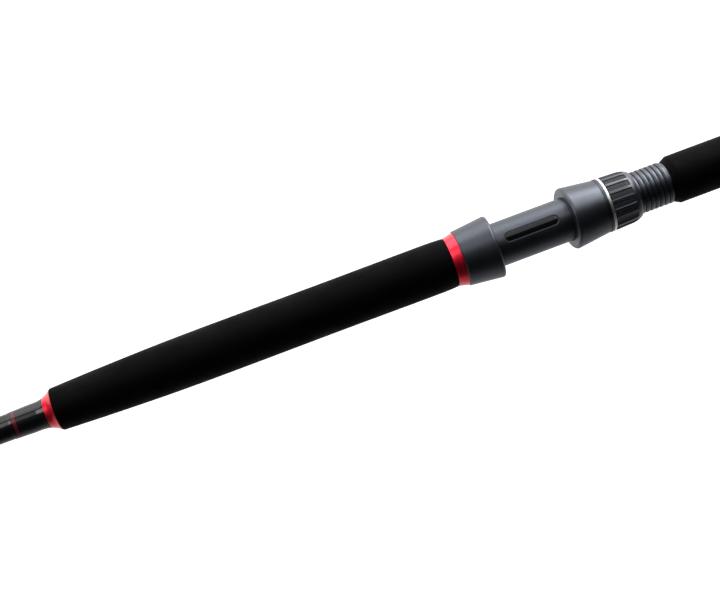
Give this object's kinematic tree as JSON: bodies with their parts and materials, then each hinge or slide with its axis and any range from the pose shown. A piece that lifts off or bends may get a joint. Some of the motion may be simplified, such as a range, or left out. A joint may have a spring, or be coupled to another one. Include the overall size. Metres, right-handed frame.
{
  "type": "fishing rod",
  "caption": "Two-piece boat fishing rod with foam grips, a screw-locking reel seat with a sliding hood, and ring guides below a tapered blank.",
  "frame": {"origin": "centre of the butt cap's flat end face, on the rod's axis", "axes": "+X along the rod from butt to tip, +Z towards the nameplate side of the reel seat, -Z towards the reel foot and the line guides"},
  "size_m": [1.8, 0.039, 0.0678],
  "materials": {
    "rubber_cap": "matte",
    "red_anodised": "satin",
    "eva_foam": "matte",
    "seat_graphite": "satin",
    "lock_nut": "satin",
    "badge_gloss": "gloss",
    "hood_rubber": "matte",
    "polished_steel": "polished",
    "arbor": "matte",
    "blank_gloss": "gloss",
    "spigot": "satin",
    "thread_wrap": "gloss",
    "red_thread": "gloss",
    "guide_steel": "polished",
    "guide_ceramic": "gloss"
  },
  "bodies": {
    "butt_section": {"blank_butt": "blank_gloss", "butt_cap": "rubber_cap", "butt_trim_ring": "red_anodised", "check_band": "red_thread", "check_collar": "thread_wrap", "check_wrap": "thread_wrap", "ferrule_band_lower": "red_thread", "ferrule_spigot": "spigot", "ferrule_wrap_lower": "thread_wrap", "fixed_hood": "seat_graphite", "fixed_hood_cushion": "hood_rubber", "foregrip": "eva_foam", "foregrip_ring": "red_anodised", "nameplate": "badge_gloss", "rear_grip": "eva_foam", "seat_arbor_front": "arbor", "seat_arbor_middle": "arbor", "seat_arbor_rear": "arbor", "seat_body": "seat_graphite", "winding_check": "red_anodised"},
    "hood": {"moving_hood": "seat_graphite", "moving_hood_cushion": "hood_rubber", "hood_ring": "polished_steel", "snap_ring": "polished_steel"},
    "lock_nut": {"lock_nut": "lock_nut"},
    "tip_section": {"blank_tip": "blank_gloss", "ferrule_band_upper": "red_thread", "ferrule_wrap_upper": "thread_wrap", "guide_1_frame": "guide_steel", "guide_1_ring": "guide_ceramic", "guide_1_wraps": "thread_wrap", "guide_2_frame": "guide_steel", "guide_2_ring": "guide_ceramic", "guide_2_wraps": "thread_wrap", "guide_3_frame": "guide_steel", "guide_3_ring": "guide_ceramic", "guide_3_wraps": "thread_wrap", "guide_4_frame": "guide_steel", "guide_4_ring": "guide_ceramic", "guide_4_wraps": "thread_wrap", "guide_5_frame": "guide_steel", "guide_5_ring": "guide_ceramic", "guide_5_wraps": "thread_wrap", "guide_6_frame": "guide_steel", "guide_6_ring": "guide_ceramic", "guide_6_wraps": "thread_wrap", "tip_top_frame": "guide_steel", "tip_top_ring": "guide_ceramic", "tip_top_wrap": "thread_wrap"}
  },
  "joints": [
    {"name": "hood_slide", "type": "slide", "parent": "butt_section", "child": "hood", "axis": [1, 0, 0], "range_m": [-0.0201, 0.0124]},
    {"name": "nut_turn", "type": "hinge", "parent": "hood", "child": "lock_nut", "pos_m": [0.346, 0, 0], "axis": [1, 0, 0], "range_deg": [-2340, 1446]},
    {"name": "tip_pull", "type": "slide", "parent": "butt_section", "child": "tip_section", "axis": [1, 0, 0], "range_m": [0, 0.08]}
  ],
  "couplings": [
    {"joint": "nut_turn", "follows": "hood_slide", "rad_per_m": 2026.8}
  ]
}
